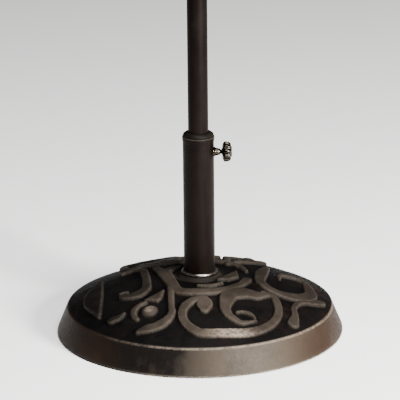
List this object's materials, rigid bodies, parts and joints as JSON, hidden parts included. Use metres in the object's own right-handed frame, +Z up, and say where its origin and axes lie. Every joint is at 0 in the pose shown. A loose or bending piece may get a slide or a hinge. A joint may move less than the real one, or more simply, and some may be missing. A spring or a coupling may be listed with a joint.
{
  "type": "parasol base",
  "caption": "Round domed cast-iron parasol base with raised scrollwork, a socket tube with a thumb screw and a loose centring collar, and the lower pole section standing in it.",
  "frame": {"origin": "on the floor under the centre of the round base", "axes": "+Z up along the pole; +X towards the thumb screw"},
  "size_m": [0.4986, 0.4984, 0.76],
  "materials": {
    "cast_iron": "bronze-brown coating over sand-cast iron, darker between the bands",
    "bright_ring": "worn bronze plating",
    "brown_steel": "satin dark brown powder coat",
    "plain_steel": "bare turned steel",
    "zinc_steel": "zinc plated",
    "guide_plastic": "moulded black",
    "collar_plastic": "moulded dark brown",
    "dark_nickel": "polished dark nickel",
    "nylon": "natural nylon",
    "rubber": "matt"
  },
  "bodies": {
    "base": {"base_casting": "cast_iron", "foot_pads": "rubber", "foot_pad_screws": "zinc_steel", "foot_collar": "bright_ring", "socket_tube": "brown_steel", "tube_end_plug": "plain_steel", "anchor_bolt": "zinc_steel", "lock_washer": "zinc_steel", "anchor_washer": "zinc_steel", "centering_bush": "guide_plastic", "weld_nut": "dark_nickel"},
    "collar": {"reducer_collar": "collar_plastic"},
    "pole": {"pole_tube": "brown_steel", "pole_foot_plug": "guide_plastic", "joint_spigot": "zinc_steel", "spigot_rivets": "zinc_steel"},
    "clamp_tip": {"thrust_pad": "nylon"},
    "thumb_screw": {"screw_stud": "dark_nickel", "knob_body": "dark_nickel", "knob_cap": "dark_nickel"}
  },
  "joints": [
    {"name": "collar_swivel", "type": "hinge", "parent": "base", "child": "collar", "pos_m": [0, 0, 0.353], "axis": [0, 0, 1], "continuous": true},
    {"name": "pole_lift", "type": "slide", "parent": "collar", "child": "pole", "axis": [0, 0, 1], "range_m": [0, 0.275]},
    {"name": "screw_feed", "type": "slide", "parent": "base", "child": "clamp_tip", "axis": [1, 0, 0], "range_m": [0, 0.00902]},
    {"name": "screw_turn", "type": "hinge", "parent": "clamp_tip", "child": "thumb_screw", "pos_m": [0.0238, 0, 0.324], "axis": [1, 0, 0], "range_deg": [0, 2592]}
  ],
  "couplings": [
    {"joint": "screw_feed", "follows": "screw_turn", "m_per_rad": 0.00019894}
  ]
}
